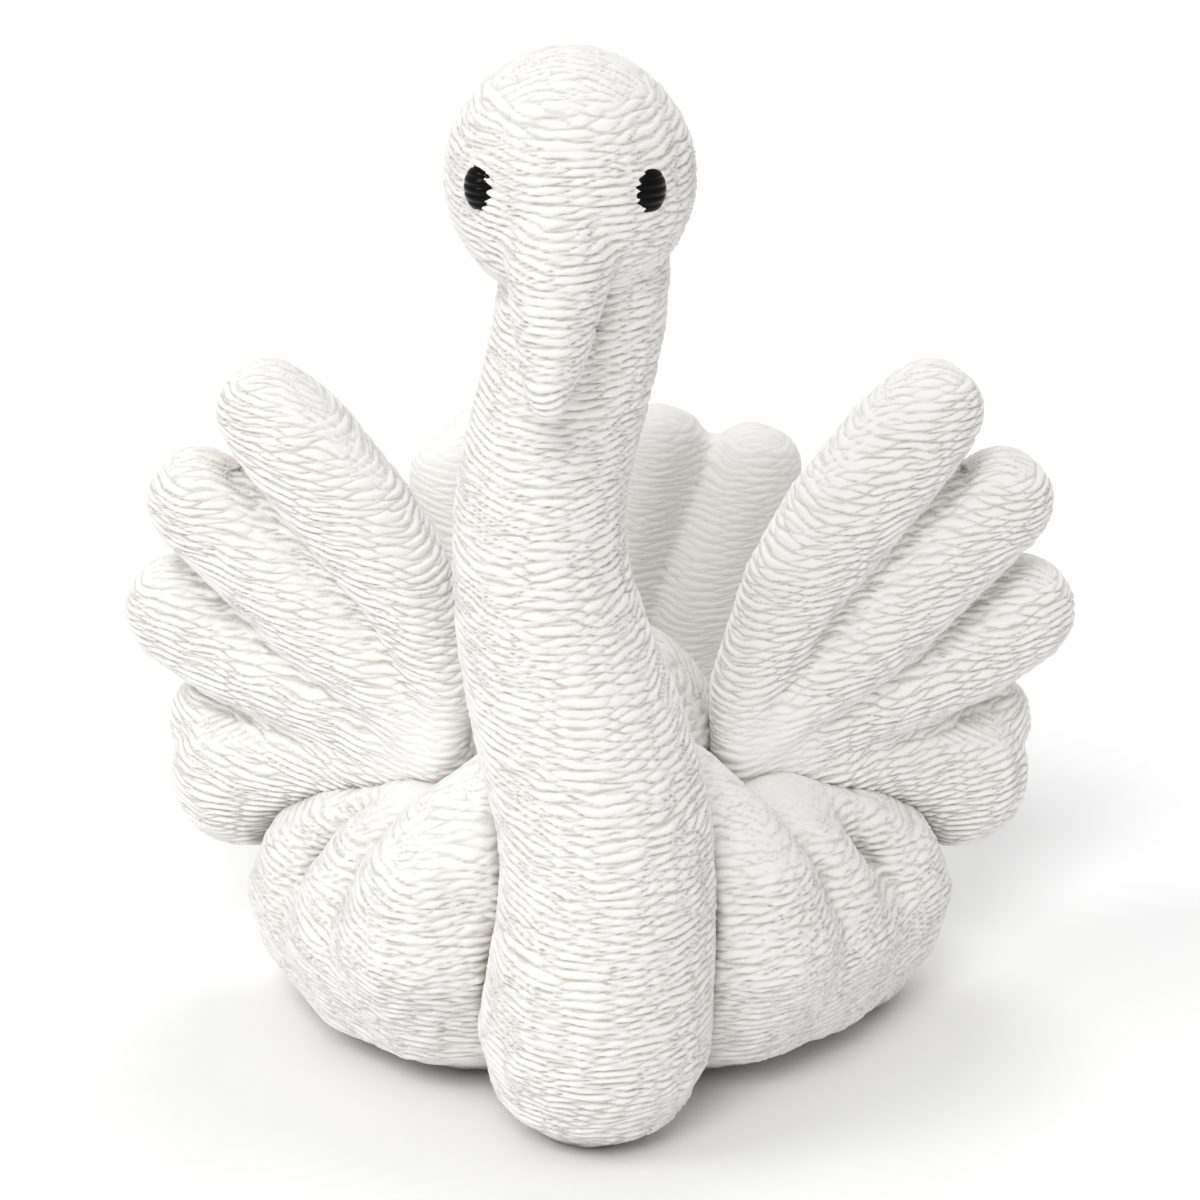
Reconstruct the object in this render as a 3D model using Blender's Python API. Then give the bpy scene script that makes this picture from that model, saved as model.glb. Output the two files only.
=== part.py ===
"""A swan folded from towelling: an upright neck roll, a pleated bowl of a body, two fanned wings and a fanned tail.

Metres, +Z up. The swan faces -Y, and the origin is level with its flat underside, below the middle of its whole
length from front to back.
Run it with: blender --background --python part.py
"""

import math

import bpy
from mathutils import Matrix, Vector

# Body: a bowl of pleats that lean on a core, with a mound for the bird's back
BODY_WIDTH = 0.214
BODY_DEPTH = 0.196
BODY_HEIGHT = 0.122
PLEAT_RADIUS = 0.0175

# Neck, head and beak, which are one long roll bent over at the top
NECK_HEIGHT = 0.279
NECK_FOOT_RADIUS = 0.033
HEAD_RADIUS = 0.0339
HEAD_HEIGHT_SHARE = 1.025
BEAK_LENGTH = 0.068
BEAK_ROOT_RADIUS = 0.0168
EYE_RADIUS = 0.0057
EYE_THICKNESS = 0.0070

# Wings and tail, which are fans of rolls tucked into the body
WING_LENGTH = 0.134
WING_ROLL_RADIUS = 0.0165
TAIL_HEIGHT = 0.128
TAIL_ROLL_RADIUS = 0.0153

# The neck's foot reaches further forward than the tail does back. Everything is placed from the middle of the body,
# and then moved back this far, so that the origin is below the middle of the whole length
BODY_SET_BACK = 0.0070

# Pieces that touch keep this much air between them
FIT_GAP = 0.0003

# How finely the soft forms are cut
NECK_SIDES = 18
ROLL_SIDES = 12
HIDDEN_SIDES = 8
CAP_ANGLES = (32, 62)
FACET_TURN = 0.13

# Neck roll, from foot to head: (across, forward and up as shares of the neck's height, radius as a share of the
# foot's radius)
NECK_STAND_SHARE = 0.969
NECK_POSE = (
    (-0.005, -0.026, 0.112, 1.010),
    (0.002, -0.014, 0.190, 0.961),
    (0.008, -0.025, 0.280, 0.915),
    (0.000, -0.047, 0.358, 0.906),
    (-0.023, -0.072, 0.435, 0.879),
    (-0.047, -0.093, 0.513, 0.809),
    (-0.060, -0.108, 0.594, 0.739),
    (-0.057, -0.118, 0.675, 0.712),
    (-0.038, -0.122, 0.757, 0.706),
    (-0.020, -0.122, 0.839, 0.703),
    (-0.014, -0.118, 0.910, 0.697),
)
HEAD_PLACE = (-0.029, -0.104, 0.989)

# Beak roll, from inside the head to its tip: (sideways, forward and up as shares of its length, radius as a share of
# the root's radius)
BEAK_POSE = (
    (0.000, 0.050, 0.100, 0.90),
    (-0.022, 0.280, -0.118, 1.00),
    (-0.051, 0.430, -0.401, 0.740),
    (-0.069, 0.500, -0.585, 0.560),
    (-0.081, 0.530, -0.718, 0.405),
    (-0.084, 0.540, -0.793, 0.262),
)

# The head is turned a little to one side, so its eyes are too
HEAD_TURN = 3.3
EYE_SPREAD = 42.4
EYE_RISE = 0.0026
EYE_SINK = 0.0011

# The point on each side where wing rolls and front pleats run together, as shares of half the width, half the depth
# and the height of the body
HUB_SHARES = (0.441, -0.306, 0.73)

# Each wing roll, from its tip to past the hub: (out, back and up from the hub as shares of the wing's length, radius
# as a share of a wing roll's radius)
WING_ROLLS = {
    "top": (
        (0.382, 0.336, 0.720, 0.95),
        (0.316, 0.299, 0.656, 1.04),
        (0.176, 0.216, 0.504, 1.02),
        (0.065, 0.134, 0.366, 0.86),
        (-0.019, 0.045, 0.164, 0.57),
        (-0.010, 0.000, 0.028, 0.38),
        (-0.050, 0.030, -0.060, 0.34),
    ),
    "upper": (
        (0.551, 0.410, 0.491, 0.97),
        (0.443, 0.358, 0.406, 0.99),
        (0.289, 0.246, 0.275, 0.91),
        (0.189, 0.164, 0.193, 0.72),
        (0.109, 0.090, 0.126, 0.52),
        (0.000, 0.000, 0.009, 0.34),
        (-0.065, 0.020, -0.045, 0.30),
    ),
    "middle": (
        (0.610, 0.485, 0.204, 1.04),
        (0.479, 0.403, 0.126, 0.93),
        (0.307, 0.261, 0.072, 0.67),
        (0.188, 0.164, 0.038, 0.47),
        (0.000, 0.000, -0.007, 0.32),
        (-0.075, 0.010, -0.030, 0.28),
    ),
    "lining": (
        (0.533, 0.537, -0.084, 0.99),
        (0.436, 0.448, -0.060, 0.75),
        (0.261, 0.261, -0.045, 0.48),
        (0.000, 0.010, -0.020, 0.30),
        (-0.080, 0.000, -0.020, 0.26),
    ),
    "bottom": (
        (0.467, 0.448, -0.181, 1.42),
        (0.360, 0.351, -0.121, 0.97),
        (0.272, 0.254, -0.086, 0.66),
        (0.187, 0.157, -0.060, 0.46),
        (0.008, 0.015, -0.021, 0.30),
        (-0.085, -0.010, -0.010, 0.26),
    ),
}

# Each tail roll, from its tip to its root: (out from the middle, back from the root and up as shares of the tail's
# height, radius as a share of a tail roll's radius)
TAIL_ROOT_SHARES = (0.714, 0.410)
TAIL_ROLLS = {
    "far_left": (
        (-0.356, 0.125, 0.721, 0.98),
        (-0.300, 0.078, 0.526, 0.92),
        (-0.225, 0.016, 0.337, 0.84),
        (-0.125, -0.062, 0.080, 0.70),
        (-0.080, -0.090, -0.060, 0.60),
    ),
    "left": (
        (-0.277, 0.172, 0.785, 0.98),
        (-0.200, 0.125, 0.563, 0.92),
        (-0.125, 0.062, 0.360, 0.82),
        (-0.055, -0.031, 0.080, 0.68),
        (-0.040, -0.055, -0.070, 0.58),
    ),
    "middle": (
        (-0.063, 0.188, 0.795, 0.98),
        (-0.038, 0.141, 0.558, 0.90),
        (-0.013, 0.078, 0.314, 0.80),
        (0.004, -0.016, 0.080, 0.68),
        (0.004, -0.040, -0.080, 0.58),
    ),
    "right": (
        (0.150, 0.172, 0.782, 0.98),
        (0.083, 0.125, 0.563, 0.94),
        (0.040, 0.078, 0.368, 0.88),
        (0.050, -0.031, 0.080, 0.70),
        (0.045, -0.050, -0.065, 0.60),
    ),
    "far_right": (
        (0.384, 0.141, 0.745, 0.96),
        (0.305, 0.094, 0.547, 0.96),
        (0.225, 0.031, 0.331, 0.88),
        (0.145, -0.062, 0.080, 0.80),
        (0.095, -0.085, -0.055, 0.62),
    ),
}

# Each pleat beside the neck, from the hub down over its belly to under the body: (out, back and up as shares of half
# the width, half the depth and the height of the body, radius as a share of a pleat's radius)
FRONT_PLEATS = {
    "breast": (
        (0.270, -0.429, 0.785, 0.32),
        (0.393, -0.561, 0.659, 0.83),
        (0.454, -0.633, 0.549, 1.19),
        (0.475, -0.653, 0.422, 1.43),
        (0.440, -0.551, 0.247, 1.31),
        (0.330, -0.400, 0.160, 1.16),
    ),
    "flank": (
        (0.502, -0.337, 0.671, 0.26),
        (0.612, -0.388, 0.557, 0.67),
        (0.686, -0.408, 0.446, 0.81),
        (0.703, -0.408, 0.327, 0.85),
        (0.673, -0.347, 0.171, 0.79),
        (0.500, -0.250, 0.098, 0.72),
    ),
    "side": (
        (0.541, -0.265, 0.662, 0.24),
        (0.717, -0.153, 0.540, 0.52),
        (0.831, -0.051, 0.426, 0.78),
        (0.860, 0.000, 0.319, 0.84),
        (0.829, 0.000, 0.210, 0.81),
        (0.764, 0.000, 0.113, 0.74),
        (0.580, 0.010, 0.085, 0.66),
    ),
}
# The right side's hub, breast pleat and flank pleat are drawn in closer to the neck. A wing roll follows its hub over
# this share of the wing's length
RIGHT_DRAW = 0.0075
DRAWN_SHARE = 0.25

# Pleats of the far half of the bowl, by their angles from the breast round to the back, follow one profile: (reach
# from the middle of the bowl, height as a share of the body's, radius as a share of a pleat's radius)
BACK_PLEAT_ANGLES = (110, 128, 146, 163, 179)
BACK_PLEAT_PROFILE = (
    (0.44, 0.66, 0.34),
    (0.80, 0.52, 0.74),
    (1.00, 0.33, 0.98),
    (0.90, 0.13, 0.94),
    (0.62, 0.085, 0.66),
)

# The core that the pleats lean on, a shoulder below each hub, and the mound, as shares of the body's half width,
# half depth and height
CORE_CENTRE = (0.0, 0.04, 0.330)
CORE_RADII = (0.79, 0.77, 0.375)
SHOULDER_CENTRE = (0.42, -0.22, 0.55)
SHOULDER_RADII = (0.26, 0.33, 0.18)
MOUND_CENTRE = (0.0, 0.0, 0.685)
MOUND_RADII = (0.352, 0.56, 0.315)

TOWELLING_WHITE = (0.86, 0.85, 0.83)
BEAD_BLACK = (0.012, 0.012, 0.013)


def clear_scene():
    for obj in list(bpy.data.objects):
        bpy.data.objects.remove(obj)


def new_collection(name, hidden=False):
    collection = bpy.data.collections.new(name)
    collection.hide_render = hidden
    bpy.context.scene.collection.children.link(collection)
    return collection


def make_material(name, colour, roughness):
    material = bpy.data.materials.new(name)
    material.use_nodes = True
    shader = material.node_tree.nodes["Principled BSDF"]
    shader.inputs["Base Color"].default_value = (*colour, 1.0)
    shader.inputs["Roughness"].default_value = roughness
    shader.inputs["Metallic"].default_value = 0.0
    return material


def smooth_stations(controls, steps):
    """Points along a Catmull-Rom curve through (x, y, z, radius) controls, with steps of them to each span."""
    ends = [controls[0], *controls, controls[-1]]
    found = []
    for before, start, end, after in zip(ends, ends[1:], ends[2:], ends[3:]):
        for step in range(steps):
            t = step / steps
            found.append(
                tuple(
                    0.5 * (2 * b + (c - a) * t + (2 * a - 5 * b + 4 * c - d) * t**2 + (3 * b - a - 3 * c + d) * t**3)
                    for a, b, c, d in zip(before, start, end, after)
                )
            )
    found.append(tuple(controls[-1]))
    return found


def cap_stations(end, inner):
    """Rings that round off a roll beyond its end station, away from the inner one."""
    outward = (Vector(end[:3]) - Vector(inner[:3])).normalized()
    rings = []
    for angle in map(math.radians, CAP_ANGLES):
        centre = Vector(end[:3]) + outward * end[3] * math.sin(angle)
        rings.append((*centre, end[3] * math.cos(angle)))
    return rings


def rounded_roll(name, controls, steps, sides, grow, collection, round_both=False):
    """A tapered roll as a mesh. Its first control is the middle of a rounded end, and the last is too where
    round_both is set. Otherwise it is a flat end that another form hides. grow widens it all over, for a cutter."""
    stations = smooth_stations([(*c[:3], c[3] + grow) for c in controls], steps)
    last_cap = cap_stations(stations[-1], stations[-2]) if round_both else []
    stations = [*reversed(cap_stations(stations[0], stations[1])), *stations, *last_cap]

    curve = bpy.data.curves.new(name, "CURVE")
    curve.dimensions = "3D"
    curve.bevel_depth = 1.0
    curve.bevel_resolution = (sides - 4) // 2
    curve.use_fill_caps = True
    spline = curve.splines.new("POLY")
    spline.points.add(len(stations) - 1)
    for point, (x, y, z, radius) in zip(spline.points, stations):
        point.co = (x, y, z, 1.0)
        point.radius = radius
    guide = bpy.data.objects.new(name, curve)
    bpy.context.scene.collection.objects.link(guide)
    bpy.context.view_layer.update()
    return as_welded_mesh(guide, name, collection)


def as_welded_mesh(guide, name, collection):
    """The curve object's surface as a mesh object with its caps joined on, and the curve removed."""
    graph = bpy.context.evaluated_depsgraph_get()
    mesh = bpy.data.meshes.new_from_object(guide.evaluated_get(graph))
    mesh.transform(guide.matrix_world)
    bpy.data.objects.remove(guide)
    roll = bpy.data.objects.new(name, mesh)
    collection.objects.link(roll)
    weld = roll.modifiers.new("weld caps", "WELD")
    weld.merge_threshold = 0.00001
    return roll


def move_to(obj, collection):
    for holder in list(obj.users_collection):
        holder.objects.unlink(obj)
    collection.objects.link(obj)


def ellipsoid(name, centre, radii, segments, rings, collection):
    """A squashed ball whose facets are turned off the swan's middle plane, where other forms have theirs."""
    bpy.ops.mesh.primitive_uv_sphere_add(segments=segments, ring_count=rings, radius=1.0)
    ball = bpy.context.object
    ball.name = name
    ball.data.name = name
    facet_turn = Matrix.Rotation(FACET_TURN, 3, "Z")
    for vertex in ball.data.vertices:
        vertex.co = Vector(centre) + Vector([c * r for c, r in zip(facet_turn @ vertex.co, radii)])
    move_to(ball, collection)
    return ball


def floor_cutter(collection):
    """A block whose top is the surface that the swan stands on."""
    bpy.ops.mesh.primitive_cube_add(size=1.0)
    block = bpy.context.object
    block.name = "floor_cutter"
    for vertex in block.data.vertices:
        vertex.co.z -= 0.5
    move_to(block, collection)
    mark_helper(block)
    return block


def mark_helper(obj):
    obj.hide_render = True
    obj.display_type = "WIRE"


def combine(obj, operation, others, folded=False):
    """Joins the others to obj, or cuts them from it. folded is for forms that may cross themselves."""
    for other in others:
        mark_helper(other)
        boolean = obj.modifiers.new(f"{operation.lower()} {other.name}", "BOOLEAN")
        boolean.operation = operation
        boolean.solver = "EXACT"
        boolean.use_self = folded
        boolean.object = other


def finish_piece(obj, material):
    obj.data.materials.clear()
    obj.data.materials.append(material)
    obj.data.shade_smooth()
    obj.data.set_sharp_from_angle(angle=math.radians(40))


def body_place(shares):
    """A place or a size given as shares of the body's half width, half depth and height."""
    across, along, up = shares
    return Vector((across * BODY_WIDTH / 2, along * BODY_DEPTH / 2, up * BODY_HEIGHT))


def neck_stand_y():
    return -NECK_STAND_SHARE * BODY_DEPTH / 2


def neck_controls():
    return [
        (across * NECK_HEIGHT, neck_stand_y() - along * NECK_HEIGHT, up * NECK_HEIGHT, radius * NECK_FOOT_RADIUS)
        for across, along, up, radius in NECK_POSE
    ]


def head_centre():
    across, along, up = HEAD_PLACE
    return Vector((across * NECK_HEIGHT, neck_stand_y() - along * NECK_HEIGHT, up * NECK_HEIGHT))


def beak_controls():
    """From the tip, whose end is round, back into the head."""
    head = head_centre()
    found = [
        (
            head.x + sideways * BEAK_LENGTH,
            head.y - forward * BEAK_LENGTH,
            head.z + up * BEAK_LENGTH,
            radius * BEAK_ROOT_RADIUS,
        )
        for sideways, forward, up, radius in BEAK_POSE
    ]
    return found[::-1]


def wing_controls(name, side):
    hub = body_place(HUB_SHARES)
    found = []
    for out, back, up, radius in WING_ROLLS[name]:
        draw = RIGHT_DRAW * max(0.0, 1.0 - math.hypot(out, up) / DRAWN_SHARE) if side > 0 else 0.0
        across = side * (hub.x - draw + out * WING_LENGTH)
        found.append((across, hub.y + back * WING_LENGTH, hub.z + up * WING_LENGTH, radius * WING_ROLL_RADIUS))
    return found


def tail_controls(name):
    back_share, up_share = TAIL_ROOT_SHARES
    root = body_place((0.0, back_share, up_share))
    return [
        (
            out * TAIL_HEIGHT,
            root.y + back * TAIL_HEIGHT,
            root.z + up * TAIL_HEIGHT,
            radius * TAIL_ROLL_RADIUS,
        )
        for out, back, up, radius in TAIL_ROLLS[name]
    ]


def front_pleat_controls(name, side):
    """From under the body up to the hub. Draws in the right side's pleats next to the neck."""
    draw = RIGHT_DRAW if side > 0 and name != "side" else 0.0
    found = []
    for out, back, up, radius in FRONT_PLEATS[name]:
        place = body_place((out, back, up))
        found.append((side * (place.x - draw * min(1.0, radius)), place.y, place.z, radius * PLEAT_RADIUS))
    return found[::-1]


def back_pleat_controls(angle, side):
    """From under the body up to the mound's rim."""
    turn = math.radians(angle)
    middle_y = body_place(CORE_CENTRE).y
    reach_x = (BODY_WIDTH / 2 - PLEAT_RADIUS) * math.sin(turn) * side
    reach_y = -(BODY_DEPTH / 2 - PLEAT_RADIUS) * math.cos(turn)
    return [
        (reach * reach_x, middle_y + reach * reach_y, up * BODY_HEIGHT, radius * PLEAT_RADIUS)
        for reach, up, radius in reversed(BACK_PLEAT_PROFILE)
    ]


def neck_roll(label, grow, collection):
    return rounded_roll(label, neck_controls(), 2, NECK_SIDES, grow, collection)


def wing_rolls(label, side, grow, collection):
    found = []
    for name in WING_ROLLS:
        sides = HIDDEN_SIDES if name == "lining" else ROLL_SIDES
        found.append(rounded_roll(f"{label}_{name}", wing_controls(name, side), 1, sides, grow, collection))
    return found


def tail_rolls(label, grow, collection):
    return [
        rounded_roll(f"{label}_{name}", tail_controls(name), 1, ROLL_SIDES, grow, collection) for name in TAIL_ROLLS
    ]


def eye_bead(name, side, grow, collection):
    """A bead that is round across and thinner through, set into the head and facing out of it."""
    reach = HEAD_RADIUS - EYE_SINK
    turn = math.radians(side * EYE_SPREAD - HEAD_TURN)
    outward = Vector((math.sin(turn), -math.cos(turn), 0.0))
    radii = (EYE_RADIUS + grow, EYE_THICKNESS / 2 + grow, EYE_RADIUS + grow)
    bead = ellipsoid(name, (0.0, 0.0, 0.0), radii, 14, 8, collection)
    bead.location = head_centre() + outward * reach + Vector((0.0, 0.0, EYE_RISE))
    bead.rotation_euler = (0.0, 0.0, turn)
    return bead


def build_neck(parts, cutters, floor):
    neck = neck_roll("neck_and_head", 0.0, parts)
    head_radii = (HEAD_RADIUS, HEAD_RADIUS, HEAD_RADIUS * HEAD_HEIGHT_SHARE)
    head = ellipsoid("head_ball", head_centre(), head_radii, NECK_SIDES, 12, cutters)
    beak = rounded_roll("beak_roll", beak_controls(), 2, ROLL_SIDES, 0.0, cutters)
    combine(neck, "UNION", [head, beak])
    sockets = [eye_bead(f"eye_socket_{side}", side, FIT_GAP, cutters) for side in (-1, 1)]
    combine(neck, "DIFFERENCE", [floor, *sockets])
    return neck


def build_body(parts, cutters, floor):
    body = ellipsoid("body", body_place(CORE_CENTRE), body_place(CORE_RADII), 18, 10, parts)
    joined = [ellipsoid("back_mound", body_place(MOUND_CENTRE), body_place(MOUND_RADII), 16, 10, cutters)]
    for side in (-1, 1):
        shoulder = body_place(SHOULDER_CENTRE)
        shoulder.x *= side
        joined.append(ellipsoid(f"shoulder_{side}", shoulder, body_place(SHOULDER_RADII), 12, 8, cutters))
        for name in FRONT_PLEATS:
            controls = front_pleat_controls(name, side)
            label = f"pleat_{name}_{side}"
            joined.append(rounded_roll(label, controls, 1, ROLL_SIDES, 0.0, cutters, round_both=True))
        for angle in BACK_PLEAT_ANGLES[:-1]:
            controls = back_pleat_controls(angle, side)
            joined.append(rounded_roll(f"pleat_{angle}_{side}", controls, 1, HIDDEN_SIDES, 0.0, cutters))
    last = back_pleat_controls(BACK_PLEAT_ANGLES[-1], 1)
    joined.append(rounded_roll("pleat_back", last, 1, HIDDEN_SIDES, 0.0, cutters))
    combine(body, "UNION", joined, folded=True)
    pockets = [
        neck_roll("neck_pocket", FIT_GAP, cutters),
        join_fan("left_wing_pocket", wing_rolls("left_wing_pocket_roll", -1, FIT_GAP, cutters), cutters),
        join_fan("right_wing_pocket", wing_rolls("right_wing_pocket_roll", 1, FIT_GAP, cutters), cutters),
        join_fan("tail_pocket", tail_rolls("tail_pocket_roll", FIT_GAP, cutters), cutters),
    ]
    combine(body, "DIFFERENCE", [floor, *pockets], folded=True)
    return body


def join_fan(name, rolls, collection):
    """One piece from several rolls that run together at their roots."""
    fan, *others = rolls
    fan.name = name
    combine(fan, "UNION", others)
    move_to(fan, collection)
    return fan


def set_back():
    """Moves the pieces and their cutters together, so that what is cut stays the same."""
    for obj in bpy.data.objects:
        obj.location.y += BODY_SET_BACK


def main():
    clear_scene()
    parts = new_collection("towel_swan")
    cutters = new_collection("cutters", hidden=True)
    towelling = make_material("white_towelling", TOWELLING_WHITE, 0.95)
    bead = make_material("black_bead", BEAD_BLACK, 0.18)

    floor = floor_cutter(cutters)
    for piece in (
        build_neck(parts, cutters, floor),
        build_body(parts, cutters, floor),
        join_fan("left_wing", wing_rolls("left_wing_roll", -1, 0.0, cutters), parts),
        join_fan("right_wing", wing_rolls("right_wing_roll", 1, 0.0, cutters), parts),
        join_fan("tail", tail_rolls("tail_roll", 0.0, cutters), parts),
    ):
        finish_piece(piece, towelling)
    for name, side in (("left_eye", -1), ("right_eye", 1)):
        finish_piece(eye_bead(name, side, 0.0, parts), bead)
    set_back()


main()
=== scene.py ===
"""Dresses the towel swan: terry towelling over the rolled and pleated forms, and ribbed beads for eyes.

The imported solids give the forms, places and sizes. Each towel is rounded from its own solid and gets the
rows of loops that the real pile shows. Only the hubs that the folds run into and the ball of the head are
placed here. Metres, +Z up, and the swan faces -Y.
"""

import itertools
import logging
import math
from dataclasses import dataclass, field
from enum import Enum, IntEnum

import bmesh
import bpy
import numpy as np
from mathutils import Matrix, Vector
from mathutils.bvhtree import BVHTree


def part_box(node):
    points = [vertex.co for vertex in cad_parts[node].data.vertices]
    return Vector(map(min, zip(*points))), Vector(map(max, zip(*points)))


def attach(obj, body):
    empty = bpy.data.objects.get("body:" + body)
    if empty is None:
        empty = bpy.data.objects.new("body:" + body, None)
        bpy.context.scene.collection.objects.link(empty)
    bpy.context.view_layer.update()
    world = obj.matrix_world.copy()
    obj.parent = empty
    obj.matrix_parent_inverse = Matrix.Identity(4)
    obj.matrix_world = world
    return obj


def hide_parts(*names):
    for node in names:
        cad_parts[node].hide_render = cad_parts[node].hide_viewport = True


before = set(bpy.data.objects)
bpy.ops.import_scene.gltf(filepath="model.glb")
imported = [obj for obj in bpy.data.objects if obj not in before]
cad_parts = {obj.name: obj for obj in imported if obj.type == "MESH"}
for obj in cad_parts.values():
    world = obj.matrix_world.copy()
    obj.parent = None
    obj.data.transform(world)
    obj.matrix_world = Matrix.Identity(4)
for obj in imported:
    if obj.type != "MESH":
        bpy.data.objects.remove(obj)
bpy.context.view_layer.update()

MM = 0.001
log = logging.getLogger("towel_swan")

# The folds of the wings and the body are drawn together in one hub on each side, placed here in millimetres
HUBS = tuple((side * 47.2, -23.0, 89.1) for side in (-1, 1))

# Each smoothing pass moves a vertex this share of the way to the middle of its neighbours
SMOOTHING = 0.5

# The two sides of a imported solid's split edge lie closer together than this
SPLIT_GAP = 0.01 * MM

# The least length that a direction is divided by
LEAST_LENGTH = 0.001 * MM

# Large odd numbers that scramble the cells of a lattice into evenly spread random numbers
CELL_FACTORS = (374761393, 668265263, 3266489917)
SCRAMBLES = ((15, 2246822519), (13, 3266489917), (16, 1))
SALT_STEP = 362437
SALT_START = 97


class Rounding(Enum):
    """How far the folded cloth rounds over, as smoothing passes over the coarse grid."""

    FIRM = 22
    SOFT = 24
    LOOSE = 36


class Noise(IntEnum):
    """The unlike noises in the pile. The number of an axis or of a ply is added to each."""

    SWAY = 11
    STRAND = 23
    WANDER = 41
    STRAY = 61


def linear(hex_colour: str) -> tuple[float, float, float, float]:
    """Turns an sRGB hex colour to linear light.

    Args:
        hex_colour: six hex digits, such as "F4F1EC".

    Returns:
        Red, green, blue and an alpha of 1.
    """
    channels = [int(hex_colour[at : at + 2], 16) / 255 for at in (0, 2, 4)]
    red, green, blue = [c / 12.92 if c <= 0.04045 else ((c + 0.055) / 1.055) ** 2.4 for c in channels]
    return red, green, blue, 1.0


def node(
    tree: bpy.types.NodeTree,
    kind: str,
    settings: dict[str, object] | None = None,
    links: dict[str, bpy.types.NodeSocket] | None = None,
) -> bpy.types.Node:
    """Adds a node to a tree.

    Args:
        tree: the material's node tree.
        kind: the node's Blender type name.
        settings: socket names or attribute names, and what they are set to.
        links: socket names, and the outputs that feed them.

    Returns:
        The new node.
    """
    added = tree.nodes.new(kind)
    for name, value in (settings or {}).items():
        if hasattr(added, name):
            setattr(added, name, value)
        else:
            added.inputs[name].default_value = value
    for name, output in (links or {}).items():
        tree.links.new(output, added.inputs[name])
    return added


def ramp(
    tree: bpy.types.NodeTree,
    share: bpy.types.NodeSocket,
    positions: tuple[float, float],
    colours: tuple[str, str],
) -> bpy.types.Node:
    """Adds a ramp between two colours.

    Args:
        tree: the material's node tree.
        share: the output that goes through the ramp.
        positions: the shares where the ramp begins and ends.
        colours: the hex colours there.

    Returns:
        The ramp's node.
    """
    added = node(tree, "ShaderNodeValToRGB", {}, {"Fac": share})
    for stop, position, colour in zip(added.color_ramp.elements, positions, colours):
        stop.position = position
        stop.color = linear(colour)
    return added


def new_material(name: str) -> tuple[bpy.types.Material, bpy.types.NodeTree, bpy.types.Node]:
    """Adds a material with one shader.

    Args:
        name: the material's name.

    Returns:
        The material, its node tree and its shader.
    """
    made = bpy.data.materials.new(name)
    made.use_nodes = True
    return made, made.node_tree, made.node_tree.nodes["Principled BSDF"]


def scatter(cells: np.ndarray, salt: int) -> np.ndarray:
    """Random numbers that are always the same for the same cell of a lattice.

    Args:
        cells: whole numbers in rows of three.
        salt: picks one of many unlike sets of random numbers.

    Returns:
        One number from 0 to 1 for each row.
    """
    whole = cells.astype(np.int64).astype(np.uint32)
    mixed = np.full(len(whole), salt * SALT_STEP + SALT_START, dtype=np.uint32)
    for column, factor in zip(whole.T, CELL_FACTORS):
        mixed += column * np.uint32(factor)
    for shift, factor in SCRAMBLES:
        mixed = (mixed ^ (mixed >> np.uint32(shift))) * np.uint32(factor)
    return mixed.astype(np.float64) / 2**32


def drift(points: np.ndarray, salt: int) -> np.ndarray:
    """Smooth noise that changes over about one unit of length.

    Args:
        points: places in rows of three, already divided by the noise's scale.
        salt: picks one of many unlike noises.

    Returns:
        One number from -1 to 1 for each point.
    """
    base = np.floor(points)
    inside = points - base
    eased = inside * inside * (3.0 - 2.0 * inside)
    total = np.zeros(len(points))
    for corner in itertools.product((0, 1), repeat=3):
        weight = np.prod(np.where(np.array(corner), eased, 1.0 - eased), axis=1)
        total += weight * scatter(base + np.array(corner), salt)
    return 2.0 * total - 1.0


def ease(values: np.ndarray, low: float, high: float) -> np.ndarray:
    """Goes smoothly from 0 to 1.

    Args:
        values: the numbers to grade.
        low: the number that gives 0.
        high: the number that gives 1. It may be less than low.

    Returns:
        One share for each number.
    """
    share = np.clip((values - low) / (high - low), 0.0, 1.0)
    return share * share * (3.0 - 2.0 * share)


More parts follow.
